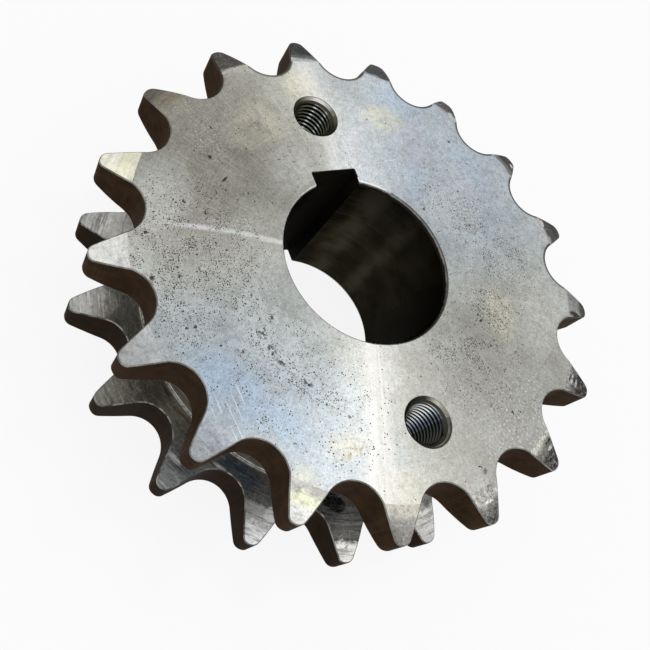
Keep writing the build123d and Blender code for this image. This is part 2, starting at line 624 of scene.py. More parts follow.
def grown(name, mesh, tree, values):
    """The plain mesh that a geometry tree makes with these named inputs."""
    thing = placed(name, mesh)
    modifier = thing.modifiers.new("rule", "NODES")
    modifier.node_group = tree
    for socket in tree.interface.items_tree:
        if socket.in_out == "INPUT" and socket.name in values:
            modifier[socket.identifier] = values[socket.name]
    evaluated = thing.evaluated_get(bpy.context.evaluated_depsgraph_get())
    made = bpy.data.meshes.new_from_object(evaluated)
    bpy.data.objects.remove(thing)
    return made


def thread_values(finish):
    first = HOLE_MOUTH - HOLE_WALL - SPARE_TURNS * THREAD_PITCH
    pitches = (TOP - 2 * (HOLE_MOUTH - HOLE_WALL)) / THREAD_PITCH
    sizes = (
        THREAD_CREST, THREAD_ROOT, HOLE_WALL, THREAD_PITCH, first, TOP, HOLE_MOUTH, HOLE_CENTRE,
    )
    values = {name: size * MM for name, size in zip(THREAD_SIZES, sizes)}
    values["First Hole"] = HOLE_TURNS[0]
    values["Steps"] = THREAD_STEPS
    values["Rows"] = ROWS_IN_A_PITCH * ceil(pitches + 2 * SPARE_TURNS)
    values["Holes"] = len(HOLE_TURNS)
    values["Finish"] = finish
    return values


def sprocket_mesh(materials):
    """The welded skin of the whole sprocket, with its creases marked."""
    body_values = {"Teeth": TEETH, "First Gap": FIRST_GAP, "Weld": WELD}
    body_values.update(zip(FINISHES, materials))
    body = grown("body_rule", body_mesh(), whole_body_tree(), body_values)
    empty = bpy.data.meshes.new("thread_start")
    threads = grown("thread_rule", empty, thread_tree(), thread_values(materials[THREAD]))
    work = bmesh.new()
    work.from_mesh(body)
    layer = work.faces.layers.int["finish"]
    count = len(work.faces)
    work.from_mesh(threads)
    work.faces.ensure_lookup_table()
    for face in work.faces[count:]:
        face[layer] = THREAD
    bmesh.ops.remove_doubles(work, verts=work.verts, dist=WELD)
    bmesh.ops.dissolve_degenerate(work, edges=work.edges, dist=WELD / 10)
    bmesh.ops.recalc_face_normals(work, faces=work.faces)
    for vertex in work.verts:
        vertex.co = dressed(vertex.co)
    for face in work.faces:
        face.material_index = face[layer]
        face.smooth = True
    for edge in work.edges:
        finishes = {face[layer] for face in edge.link_faces}
        edge.smooth = len(finishes) == 1 and edge.calc_face_angle(0) < CREASE
    made = bpy.data.meshes.new("sprocket_skin")
    work.to_mesh(made)
    work.free()
    made.attributes.remove(made.attributes["finish"])
    for material in materials:
        made.materials.append(material)
    return made


# ---- Finishes

class Finish(Nodes):
    """The node tree of one finish, with the patterns that finishes share. Places are in metres."""

    def __init__(self, name):
        self.material = bpy.data.materials.new(name)
        super().__init__(emptied(self.material))
        self.place = self.add("ShaderNodeTexCoord", out="Object")
        self.x, self.y, self.z = self.split(self.place)
        self.radius = (self.x * self.x + self.y * self.y).root()
        self.turn = self.y.turn_from_x(self.x)

    def noise(self, scale, detail=3.0, roughness=0.6, where=None, seed=0.0):
        """Cloudy noise, mostly between 0.3 and 0.7. Each seed gives another pattern."""
        sockets = {
            "Vector": where or self.place, "W": seed, "Scale": scale, "Detail": detail,
            "Roughness": roughness,
        }
        return self.add("ShaderNodeTexNoise", {"noise_dimensions": "4D"}, sockets)

    def rings(self, reach, across, along):
        """Places for a pattern that runs round the axis: fine across the rings, long along them."""
        return self.vector(reach * across, self.turn.cos() * along, self.turn.sin() * along)

    def round_axis(self, across, along):
        """Places for a pattern that runs along the radii: fine across them, long along them."""
        return self.round_z(across, self.turn, self.radius * along)

    def mapped(self, lean, scale, location=(0, 0, 0)):
        """Places measured from a spot of a flat face, turned and scaled."""
        sockets = {
            "Vector": self.place, "Location": location, "Rotation": (0, 0, radians(lean)),
            "Scale": scale,
        }
        return self.add("ShaderNodeMapping", {"vector_type": "TEXTURE"}, sockets)

    def far(self, start, end):
        """0 on the -X -Y side of the axis and 1 on the +X +Y side. The ends are in millimetres."""
        return far_side(self.x, self.y).ramp(start * MM, end * MM)

    def behind(self):
        """1 behind the groove and 0 in front of it."""
        return self.z.ramp(FRONT_ROW[0] * MM, REAR_ROW[1] * MM)

    def near_end(self, deep, shallow, shift=None):
        """1 near both ends of the sprocket, and 0 from the deep one of two depths inwards."""
        half = TOP / 2
        reach = (self.z - half * MM).abs()
        if shift:
            reach = reach + shift
        return reach.ramp((half - deep) * MM, (half - shallow) * MM)

    def by_tooth(self, tones):
        """The tone of each tooth, from the first gap after +Y on."""
        share = ((self.turn - (pi / 2 + FIRST_GAP)) / (2 * pi)) % 1.0
        stops = [(k / TEETH, (*steel_tone(*tone), 1.0)) for k, tone in enumerate(tones)]
        return self.add("ShaderNodeValToRGB", {"stops": stops, "constant": True}, {0: share})

    def patch(self, x, y, radius, stretch=1.0, lean=0.0):
        """1 at a spot on a face and 0 beyond its radius, in millimetres. It may be drawn out."""
        shift = self.mapped(lean, (radius * stretch * MM, radius * MM, 1), (x * MM, y * MM, 0))
        off = self.add(
            "ShaderNodeVectorMath", {"operation": "DOT_PRODUCT"}, {0: shift, 1: shift}, out="Value"
        )
        return off.ramp(1.0, 0.0)

    def patches(self, *spots):
        """The strongest of several patches. Each is (strength, x, y, radius, stretch, lean)."""
        strongest = None
        for strength, *place in spots:
            spot = self.patch(*place) if strength == 1.0 else self.patch(*place) * strength
            strongest = strongest.most(spot) if strongest else spot
        return strongest

    def pits(self, spacing, smallest, largest, share, seed=0.0):
        """Pits on a flat face: this share of the cells, chosen at random, has a pit in it."""
        wobble = self.noise(1.4 / (spacing * MM), 2.0, 0.5, seed=seed)
        moved = self.add(
            "ShaderNodeVectorMath", {"operation": "MULTIPLY_ADD"},
            {0: wobble.other("Color"), 1: (spacing * MM, spacing * MM, 0), 2: self.place},
        )
        moved = self.add(
            "ShaderNodeVectorMath", {"operation": "ADD"}, {0: moved, 1: (seed, seed, 0)}
        )
        cells = self.add(
            "ShaderNodeTexVoronoi", {"voronoi_dimensions": "2D"},
            {"Vector": moved, "Scale": 1 / (spacing * MM)},
        )
        chance = self.add("ShaderNodeSeparateColor", {}, {0: cells.other("Color")})
        size = chance.other("Green")
        reach = (smallest + (largest - smallest) * size * size) / spacing
        return (cells / reach).ramp(1.2, 0.7) * (chance < share)

    def scratches(self, lean, spacing, length, share, seed=0.0):
        """Thin straight lines in one direction. A small share of the surface has them."""
        lines = self.noise(1.0, 1.0, 0.4, self.mapped(lean, (length * MM, spacing * MM, 1)), seed)
        return lines.ramp(1 - share, 1 - share + 0.06)

    def blend(self, share, first, second, kind="MIX"):
        return self.add(
            "ShaderNodeMix", {"data_type": "RGBA", "blend_type": kind},
            {0: share, 6: colour(first), 7: colour(second)}, out=2,
        )

    def coat(self, share, tone):
        """Lays a tone over the finish so far."""
        self.tone = self.blend(share, self.tone, tone)

    def darker(self, level):
        return self.blend(1.0, self.tone, grey(level), "MULTIPLY")

    def bump(self, height, depth, under=None):
        """A bump of a height pattern between 0 and 1. Depth is in millimetres."""
        sockets = {"Height": height, "Distance": depth * MM, "Strength": 1.0}
        if under:
            sockets["Normal"] = under
        return self.add("ShaderNodeBump", {}, sockets)

    def surface(self, roughness, metallic=1.0, normal=None, **constants):
        sockets = {"Base Color": colour(self.tone), "Roughness": roughness, "Metallic": metallic}
        sockets.update({name.replace("_", " "): value for name, value in constants.items()})
        if normal:
            sockets["Normal"] = normal
        shader = self.add("ShaderNodeBsdfPrincipled", {}, sockets)
        self.add("ShaderNodeOutputMaterial", {}, {"Surface": shader})
        return self.material


def far_side(x, y):
    """How far a place lies towards the +X +Y side."""
    return x * 0.75 + y * 0.66


def grey(level, warmth=0.0):
    """A steel tone. Warmth makes it browner, and less than none makes it bluer."""
    return (level * (1 + warmth * 0.5), level, level * (1 - warmth))


def steel_tone(*tone):
    """A tone given as red, green and blue, or as a level and its warmth."""
    return tone if len(tone) == 3 else grey(*tone)


def colour(value):
    """A colour socket takes four numbers. Three are given here, or a link."""
    return value if isinstance(value, Wire) else (*value, 1.0)


def seat_edges(f):
    """1 beside the rollers' seats on the flat face, and 0 from 1 mm away."""
    pitch = 2 * pi / TEETH
    past_gap = (f.turn - (pi / 2 + FIRST_GAP) + 2 * pi + pitch / 2) % pitch - pitch / 2
    seat = f.radius * f.radius + PITCH_RADIUS * MM * (PITCH_RADIUS * MM)
    seat = (seat - f.radius * past_gap.cos() * (2 * PITCH_RADIUS * MM)).root()
    return seat.ramp((SEAT_RADIUS + 1.0) * MM, (SEAT_RADIUS + 0.5) * MM)


def painted_glint_line(f):
    """A painted highlight: a thin bright streak outwards across the face, bent half way, and the
    tones along it.
    """
    bend = f.turn - radians(160.4) - (f.radius - 36 * MM).abs() * 1.4
    line = (bend * f.radius).abs().ramp(1.1 * MM, 0.2 * MM) * f.radius.ramp(60 * MM, 48 * MM)
    tint = f.blend(f.radius.ramp(38 * MM, 44 * MM), (0.66, 0.78, 0.71), (0.78, 0.71, 0.82))
    ends = (f.radius - 43 * MM).abs().ramp(5 * MM, 11 * MM)
    return line, f.blend(ends, tint, (0.78, 0.78, 0.75))


def turned_face():
    f = Finish("turned_face")
    # Soft areas on the steel: greyer, bluer, browner and yellower. The bluer ones are partly
    # painted reflections of the sky.
    cloud = f.noise(75, 5.0, 0.62)
    patchy = f.noise(260, seed=8.0)
    mottle = f.noise(700, 4.0, 0.65, seed=2.0)
    soft = (cloud * 0.7 + patchy * 0.3).ramp(0.36, 0.64)
    f.tone = f.blend(soft, (0.46, 0.47, 0.445), (0.615, 0.635, 0.62))
    # Painted reflection of the sky, in part: bluish areas on the +X side and on the -X -Y side
    cool = f.patches((0.8, 40, 26, 46, 1.3, 35), (0.8, -42, -34, 27, 1.7, -45))
    f.coat(cool, f.blend(soft, (0.43, 0.50, 0.58), (0.56, 0.64, 0.72)))
    brown = f.patches((1.0, -36, 38, 40, 1.25, 45), (0.45, 38, -26, 26, 1.3, -40))
    f.coat(brown * 0.9, f.blend(soft, (0.235, 0.22, 0.18), (0.40, 0.385, 0.33)))
    # Painted reflection of the sky, in part: blue-grey areas towards +Y
    blue_grey_sheen = f.patches((0.6, 20, 57, 15, 2.0, -20), (0.45, 24, 42, 15, 1.3, -10))
    f.coat(blue_grey_sheen, f.blend(soft, (0.32, 0.37, 0.43), (0.46, 0.52, 0.59)))
    dull = f.patches(
        (0.45, 14, -46, 22, 1.4, 10), (0.45, 0, -30, 5, 1.3, 0), (0.6, 12, -60, 7, 1.4, -70),
        (0.35, -27, 52, 12, 1.6, 28),
    )
    f.coat(dull, (0.37, 0.36, 0.33))
    pale = f.patches(
        (0.5, -36, -17, 9, 1.8, -60), (0.15, -20, -44, 8, 1.9, 70), (0.5, -52, 26, 10, 1.4, 60),
        (0.4, -13, 30, 9), (0.35, 34, 13, 11, 1.5, 20), (0.3, 46, -28, 9, 1.3, 60),
    )
    f.coat(pale, (0.76, 0.78, 0.78))
    # Painted reflection of the sky, in part: small saturated blue areas
    blue = f.patches(
        (0.75, -50, -27, 9, 1.7, -55), (0.5, -40, -37, 6, 2.0, -45), (0.4, 31, 50, 7, 1.8, -35),
        (0.3, 26, 22, 6, 1.8, 70), (0.3, 47, 26, 5, 2.2, -60),
    )
    f.coat(blue * soft.ramp(-0.6, 0.6), (0.46, 0.60, 0.80))
    lilac = f.patches(
        (0.35, 32, 35, 5, 2.4, 75), (0.3, 44, 16, 5, 2.0, 80), (0.3, 10, 36, 4, 1.8, 40)
    )
    f.coat(lilac, (0.62, 0.60, 0.70))
    yellow = f.patches(
        (0.65, 24, 44, 6, 1.5, -20), (0.5, -19, 44, 9, 1.5, 20), (0.65, 0, 56, 7, 1.5, 80),
        (0.65, 35, -22, 6, 1.9, 75), (0.5, -19, -61, 9, 1.5, 15), (0.65, -42, -54, 6, 1.5, 40),
        (0.5, -26, -46, 5, 1.5, 10),
    )
    f.coat(yellow * patchy.ramp(0.2, 0.6), (0.70, 0.665, 0.52))
    f.coat(mottle.ramp(0.60, 0.36) * 0.4, (0.27, 0.265, 0.245))
    # Rings left by the lathe, and painted glints across them
    rings = f.noise(1.0, 2.0, 0.6, f.rings(f.radius, 3200, 3), 1.0)
    f.coat(rings.ramp(0.42, 0.68) * 0.12, (0.75, 0.75, 0.73))
    glints = f.noise(1.0, 2.0, 0.6, f.round_axis(90, 150), 4.0)
    f.coat(glints.ramp(0.48, 0.8) * 0.25, (0.80, 0.80, 0.79))
    grain = f.noise(2300, 3.0, 0.75, seed=5.0)
    f.coat(grain.ramp(0.52, 0.68) * 0.55, (0.20, 0.195, 0.18))
    f.coat(grain.ramp(0.47, 0.33) * 0.35, (0.86, 0.86, 0.85))
    # Two arms of light across the rings
    arm = (f.turn + radians(110.1)).abs().ramp(0.13, 0.02)
    arm = arm.most((f.turn - radians(86.5)).abs().ramp(0.09, 0.02) * 0.6)
    streaks = f.noise(1.0, 3.0, 0.6, f.round_axis(45, 30), 6.0)
    f.coat(arm * streaks.ramp(0.30, 0.62) * 0.6, (0.72, 0.695, 0.695))
    # Painted shade: dark beside the rollers' seats on the +X +Y side
    f.coat(seat_edges(f) * f.far(12, 40) * 0.85, (0.04, 0.036, 0.028))
    # Painted highlight: a thin streak of light with tints along it
    line, tint = painted_glint_line(f)
    f.coat(line * mottle.ramp(0.3, 0.55) * 0.7, tint)
    # Pale and dark flecks
    fleck = f.noise(1500, seed=13.0)
    flecked = f.patches(
        (0.6, -34, 40, 8, 1.3, 60), (0.6, -33, 16, 4), (0.3, 44, -30, 12, 1.5, 60),
        (0.9, 38.6, 7.5, 8, 1.2, 60), (0.6, 47, -9, 8, 1.3, 30), (0.7, 33, -22, 7, 1.5, 75),
        (0.5, 20, 30, 9, 1.5, 60), (0.9, 27, -51, 15, 1.4, 25),
    )
    f.coat(fleck.ramp(0.57, 0.64) * flecked, (0.85, 0.85, 0.82))
    f.coat(fleck.ramp(0.45, 0.37) * flecked * 0.45, (0.24, 0.23, 0.205))
    dirt = f.patch(-24.5, -48, 2.2, 3.2, 8) * f.noise(900, seed=14.0).ramp(0.45, 0.6)
    f.coat(dirt * 0.6, (0.30, 0.22, 0.10))
    # Rust pits in clusters
    clusters = f.patches(
        (1.1, -50, 6, 25, 1.2, 80), (0.30, -35, -27, 22, 1.7, -45), (1.1, -31, -29, 6, 2.6, -45),
        (0.9, -43, -35, 5, 1.3, 0), (0.8, -42.5, -25, 5), (0.8, -38, -18, 5, 2.2, -60),
        (1.5, 38.6, 7.0, 8, 1.3, 60), (1.1, 45, -6, 9, 1.4, 30), (1.4, 33, -20, 8, 1.5, 75),
        (0.9, 20, -32, 9, 2.0, -10), (0.25, 38, -2, 24, 1.5, 80), (0.5, 30, 18, 8, 1.6, 60),
        (0.12, -20, 30, 28), (0.4, 20, -42, 10, 1.6, -20),
    )
    share = clusters * f.noise(190, seed=7.0).ramp(0.36, 0.60) + 0.010
    pits = f.pits(0.50, 0.065, 0.19, share, 3.0).most(f.pits(2.4, 0.18, 0.42, share * 0.22, 9.0))
    flakes = f.patches(
        (1.0, -34.2, -11.6, 1.7), (1.0, -37.9, -15.5, 1.3, 1.3, -60),
        (1.0, -36.6, -19.5, 1.2, 1.6, -60), (0.9, -35.4, -23.1, 1.1, 1.6, -50),
        (0.8, -30.5, -29.5, 1.0, 2.0, -45),
    )
    pits = pits.most(flakes * f.noise(1300, seed=12.0).ramp(0.47, 0.56))
    rusty = f.noise(700, 3.0, 0.5, seed=11.0).ramp(0.3, 0.7)
    rust = f.blend(rusty, (0.030, 0.022, 0.017), (0.15, 0.09, 0.055))
    f.coat(pits * 0.86, rust)
    spots = f.patches(
        (1.0, -35.5, 35, 0.75), (1.0, 44.6, 34.3, 0.6), (1.0, 24.8, 12.7, 0.6),
        (1.0, -60.7, 3.3, 0.9), (1.0, -33.5, 28, 0.5, 3.5, 35), (0.7, 9.3, -61.5, 0.7, 1.6, 60),
        (0.8, -22.6, -40, 0.6),
    )
    f.coat(spots * mottle.ramp(0.2, 0.4) * 0.95, (0.04, 0.035, 0.03))
    # Scratches, and the places where there are more of them
    marks = f.scratches(62, 0.5, 12, 0.30, 1.0).most(f.scratches(15, 0.4, 8, 0.29, 3.0)) * 0.14
    marks = marks.most(f.scratches(96, 0.4, 13, 0.40, 2.0) * f.patch(-53, -33, 9, 1.3, 60) * 0.8)
    marks = marks.most(f.scratches(50, 0.4, 9, 0.34, 4.0) * f.patch(26, 17, 9) * 0.5)
    f.coat(marks, (0.92, 0.92, 0.92))
    roughness = 0.375 + cloud * 0.1 + mottle * 0.06 + pits * 0.3
    normal = f.bump(rings, 0.003)
    normal = f.bump(mottle, 0.014, normal)
    normal = f.bump(pits, -0.08, normal)
    return f.surface(roughness, 1.0, normal, Anisotropic=0.88, Anisotropic_Rotation=0.25)


# Tones of the teeth from the first gap after +Y on. Each row is one tooth: the tone of its
# foot, the radius where that ends, the tone of its middle, the radius where that ends, and
# the tone of its tip. A tone is a level and its warmth, or red, green and blue. First the
# bevels, then the relieved sides of the rows. These tones are partly painted light: the
# palest are painted glints and highlights, the darkest painted shade and dark reflections.
BEVELS = [
    ((0.85, 0.08), 66.5, (0.16, 0.14), 71.0, (0.15, 0.12)),
    ((0.42, 0.16), 66.4, (0.37, 0.22), 70.5, (0.27, 0.14)),
    ((0.84, 0.84, 0.69), 66.5, (0.92, 0.91, 0.72), 70.5, (0.95, 0.94, 0.82)),
    ((0.66, 0.02), 67.5, (0.70, 0.02), 70.5, (0.72, 0.03)),
    ((0.50, 0.0), 67.5, (0.46, 0.0), 70.5, (0.40, 0.02)),
    ((0.50, -0.08), 67.5, (0.44, -0.08), 70.5, (0.40, -0.05)),
    ((0.58, 0.06), 67.5, (0.88, 0.88, 0.66), 70.5, (0.92, 0.03)),
    ((0.56, 0.12), 68.8, (0.36, 0.04), 70.8, (0.27, 0.06)),
    ((0.55, 0.03), 69.3, (0.22, 0.04), 71.3, (0.12, 0.04)),
    ((0.86, 0.85, 0.77), 67.2, (0.30, 0.05), 69.6, (0.08, 0.05)),
    ((0.60, 0.05), 67.5, (0.22, 0.05), 69.8, (0.065, 0.05)),
    ((0.75, 0.0), 66.4, (0.43, 0.01), 71.4, (0.085, 0.1)),
    ((0.62, 0.0), 66.5, (0.11, 0.01), 70.5, (0.06, 0.02)),
    ((0.72, -0.05), 66.5, (0.25, 0.0), 69.0, (0.045, 0.1)),
    ((0.75, -0.08), 67.4, (0.16, -0.02), 69.8, (0.05, 0.03)),
    ((0.52, -0.10), 66.5, (0.09, -0.03), 69.0, (0.045, 0.03)),
    ((0.95, -0.05), 66.7, (0.25, -0.05), 68.6, (0.085, 0.06)),
]
PLAIN_SIDE = ((0.30, 0.05), 65.0, (0.30, 0.05), 69.0, (0.30, 0.05))
SIDES = [
    PLAIN_SIDE,
    ((0.35, 0.05), 65.0, (0.35, 0.05), 69.0, (0.35, 0.05)),
    ((0.46, 0.05), 65.0, (0.46, 0.05), 69.0, (0.48, 0.03)),
    ((0.19, 0.14), 64.8, (0.34, 0.08), 69.0, (0.46, 0.05)),
    ((0.16, 0.22), 64.8, (0.18, 0.20), 69.0, (0.21, 0.16)),
    ((0.21, 0.14), 64.0, (0.17, 0.0), 69.5, (0.25, 0.02)),
    ((0.19, 0.02), 64.6, (0.50, 0.05), 68.8, (0.86, 0.02)),
    ((0.16, 0.06), 65.0, (0.13, 0.06), 69.2, (0.80, 0.04)),
    ((0.30, 0.03), 65.5, (0.60, 0.03), 69.0, (0.62, 0.02)),
] + 8 * [PLAIN_SIDE]
HUB_TONE = (0.24, 0.15)
HUB = [(HUB_TONE, 60.0, HUB_TONE, 70.0, HUB_TONE)] * TEETH
# How scuffed each bevel is
BEVEL_SCUFFS = [0.3, 0.3, 0.2, 0.35, 0.35, 0.35, 0.35, 0.5, 0.8, 1.0, 1.0, 0.5] + 5 * [0.3]
# Marks on single teeth: (tone, patches). The dark ones are streaks, the pale ones painted glints.
BEVEL_MARKS_AND_GLINTS = [
    (grey(0.05, 0.06), [
        (0.9, 63.2, -26.9, 1.1, 2.8, -23), (0.8, 51.3, -45.4, 0.45, 5.0, 48),
        (0.7, 50.0, -44.2, 0.35, 5.0, 48), (0.8, 33.3, -58.9, 0.45, 4.0, 29),
    ]),
    (grey(0.95, 0.02), [
        (0.8, 51.8, -46.2, 0.40, 4.0, 48), (0.8, 50.6, -44.9, 0.40, 5.0, 48),
        (0.7, 33.4, -60.6, 0.55, 3.0, 28), (0.6, 7.6, -68.6, 0.45, 4.0, 6),
        (0.8, 66.3, 3.2, 1.0, 1.6, 70), (0.8, 50.4, 44.2, 1.0, 1.8, 50),
        (0.6, 66.9, 25.0, 0.8, 1.6, 70),
    ]),
]
# Marks on single teeth of the rows' sides: (tone, patches). The pale patches are a painted glint
# and the near-black ones a painted shadow.
SIDE_MARKS_GLINT_AND_SHADOW = [
    ((0.27, 0.25, 0.19), [(0.7, -54.3, -23.0, 6.0)]),
    ((0.10, 0.125, 0.16), [(0.7, -41.7, -41.7, 5.0, 1.6, -45)]),
    ((0.80, 0.79, 0.76), [
        (0.8, -37.0, -54.8, 2.2, 1.4, 50), (0.45, -57.6, -34.2, 1.2, 2.5, -60),
        (0.5, -46.5, -39.5, 0.8, 3.5, -50),
    ]),
    ((0.13, 0.125, 0.11), [(0.6, 9.6, -63.6, 1.6)]),
    ((0.004, 0.004, 0.003), [
        (2.0, -17.6, -57.0, 2.5, 1.1, -17), (2.0, -19.2, -55.0, 2.4, 1.2, -17),
    ]),
]


def turned_side(
    name, teeth, contrast, roughness, scuffs_of, scratched=0.3, marks_and_glints=(), metallic=1.0,
    foot_lines=(),
):
    """Steel with tool marks round the axis, for the bevels and the sides of the rows. The tones of
    each tooth are partly painted highlights and shade.
    """
    f = Finish(name)
    cloud = f.noise(170, 4.0, 0.6)
    wobble = f.noise(130, seed=3.0)
    scuffs = f.noise(900, 4.0, 0.7, seed=4.0)
    grain = f.noise(2400, 2.0, 0.7, seed=8.0)
    along = f.radius + f.z
    rings = f.noise(1.0, 3.0, 0.65, f.rings(along, 1100, 5), 1.0)
    fine = f.noise(1.0, 2.0, 0.6, f.rings(along, 4500, 12), 6.0)
    ragged = f.radius + (wobble - 0.5) * (6 * MM) + (scuffs - 0.5) * (3 * MM)
    feet, inner, middles, outer, tips = zip(*teeth)
    # Tones of each tooth at its foot, middle and tip, partly painted highlights and shade
    f.tone = f.by_tooth(feet)
    for steps, tones in ((inner, middles), (outer, tips)):
        step = f.by_tooth([[radius / 100] for radius in steps]) * (100 * MM)
        f.coat((ragged - step).ramp(-0.6 * MM, 0.6 * MM), f.by_tooth(tones))
    # Marks on single teeth, among them painted glints and a painted shadow
    for tone, spots in marks_and_glints:
        share = f.patches(*spots).least(0.5) * 2.0
        f.coat(share * scuffs.ramp(0.1, 0.4), tone)
    scuffed = f.by_tooth([[share] for share in scuffs_of])
    darker = f.darker(0.30)
    lighter = f.blend(1.0, f.tone, grey(0.20), "ADD")
    f.coat(cloud.ramp(0.60, 0.36) * 0.3, darker)
    f.coat(rings.ramp(0.50, 0.38) * contrast, darker)
    f.coat(fine.ramp(0.54, 0.66) * contrast, lighter)
    f.coat(scuffs.ramp(0.53, 0.62) * scuffed, lighter)
    f.coat(scuffs.ramp(0.47, 0.38) * scuffed, darker)
    f.coat(grain.ramp(0.52, 0.68) * scuffed, darker)
    f.coat(grain.ramp(0.46, 0.34) * scuffed * 0.8, lighter)
    marks = f.scratches(20, 0.35, 6, 0.33, 5.0).most(f.scratches(-60, 0.35, 5, 0.33, 6.0))
    marks = marks.most(f.scratches(75, 0.35, 5, 0.33, 7.0))
    f.coat(marks * scratched, grey(0.78))
    # Painted highlights: thin pale lines round the hub in the hollow corners, broken where scuffed
    for radius in foot_lines:
        wear_and_painted_light = (f.radius - radius * MM).abs().ramp(0.11 * MM, 0.03 * MM) * scuffs.ramp(0.38, 0.54)
        f.coat(wear_and_painted_light * 0.8, grey(0.90))
    normal = f.bump(rings, 0.010)
    normal = f.bump(fine, 0.004, normal)
    normal = f.bump(scuffs, 0.014, normal)
    rough = roughness + cloud * 0.12 + rings * 0.06
    return f.surface(rough, metallic, normal, Anisotropic=0.6, Anisotropic_Rotation=0.25)


def dark_cut_wall(name, dark, light, roughness, gloss, streaks):
    """A dark brown cut wall, with streaks round the axis or along it, and painted shade behind the
    groove.
    """
    f = Finish(name)
    cloud = f.noise(240, 4.0, 0.6)
    lines = f.noise(1.0, 3.0, 0.6, streaks(f), 2.0)
    f.tone = f.blend(cloud.ramp(0.3, 0.7), dark, light)
    f.coat(lines.ramp(0.5, 0.75) * 0.35, tuple(c * 1.7 for c in light))
    # Painted shade: darker behind the groove
    f.coat(f.behind() * 0.9, f.darker(0.5))
    normal = f.bump(lines, 0.01)
    return f.surface(roughness + cloud * 0.15, 0.0, normal, Specular_IOR_Level=gloss)


def along_axis(f):
    return f.vector(f.x * 900, f.y * 900, f.z * 40)


def turned_wall(f):
    return f.vector(f.x * 25, f.y * 25, f.z * 2600)


def broken_edge():
    """Broken edges: pale on the -X -Y side and darkened by painted shade on the +X +Y side, dark in
    worn places, more so behind the groove as painted shade, and round the bore with a painted
    highlight on one side and painted shade on the other.
    """
    f = Finish("broken_edge")
    cloud = f.noise(260)
    f.tone = f.blend(cloud.ramp(0.25, 0.75), (0.16, 0.155, 0.145), (0.40, 0.39, 0.37))
    # Painted shade on the +X +Y side
    f.coat(f.far(-4, 18) * 0.9, (0.030, 0.027, 0.022))
    # Dark worn places, made stronger behind the groove, where that is painted shade
    wear_and_painted_light = f.noise(420, seed=3.0).ramp(0.56, 0.44)
    f.coat(wear_and_painted_light * (f.behind() * 0.5 + 0.35), (0.05, 0.045, 0.038))
    # Round the bore: a painted highlight on one side and painted shade on the other
    rim = f.blend((f.x - f.y * 0.4).ramp(4 * MM, 14 * MM), grey(0.85), grey(0.10, 0.1))
    f.coat((f.radius < 26 * MM) * cloud.ramp(0.25, 0.5), rim)
    return f.surface(0.32 + cloud * 0.15)


def lead_in():
    """The bore's tapered mouth: pale at its lip, and as dark as the bore further in."""
    f = Finish("lead_in")
    cloud = f.noise(400)
    lip = f.near_end(0.75, 0.4, (cloud - 0.5) * (0.5 * MM))
    f.tone = f.blend(cloud.ramp(0.3, 0.7), (0.24, 0.235, 0.21), (0.46, 0.45, 0.42))
    f.tone = f.blend(lip, (0.020, 0.018, 0.014), f.tone)
    return f.surface(0.28 + cloud * 0.15)


def bore_wall():
    f = Finish("bore_wall")
    cloud = f.noise(110, 4.0, 0.6)
    lines = f.noise(1.0, 3.0, 0.65, turned_wall(f), 2.0)
    f.tone = f.blend(cloud.ramp(0.3, 0.7), (0.015, 0.013, 0.008), (0.030, 0.027, 0.018))
    # Tool marks round the wall, painted lighter only where the wall is lit, past a turn of 0.35
    # from +X
    f.coat(lines.ramp(0.50, 0.78) * f.turn.ramp(0.35, 1.0) * 0.4, (0.13, 0.12, 0.09))
    # Painted highlights: two bright bands up the wall at fixed turns round the axis
    first, second = (f.turn - radians(56)).abs(), (f.turn - radians(24)).abs()
    shine = first.ramp(0.24, 0.06).most(second.ramp(0.16, 0.02) * 0.7)
    f.coat(shine * cloud.ramp(0.25, 0.62) * 0.6, (0.078, 0.070, 0.050))
    # Painted shade on the wall where its turn from +X is below zero
    f.coat(f.turn.ramp(0.0, -0.9) * 0.4, (0.010, 0.008, 0.004))
    normal = f.bump(lines, 0.0015)
    tint = (0.06, 0.055, 0.045, 1.0)
    return f.surface(0.42 + cloud * 0.12, 0.9, normal, Anisotropic=0.6, Specular_Tint=tint)


def round_hole(f, first, second):
    """Tones round the two tapped holes. Each is a list of (angle from +X in degrees, tone)."""
    side = (f.y > 0.0) * 2.0 - 1.0
    lean = HOLE_TURNS[0]
    across = f.x - side * (HOLE_CENTRE * MM * cos(lean))
    along = f.y - side * (HOLE_CENTRE * MM * sin(lean))
    share = (along.turn_from_x(across) / (2 * pi)) % 1.0
    made = []
    for tones in (second, first):
        stops = sorted((angle % 360 / 360, (*tone, 1.0)) for angle, tone in tones)
        made.append(f.add("ShaderNodeValToRGB", {"stops": stops}, {0: share}))
    return f.blend(f.y > 0.0, *made), (across * across + along * along).root()


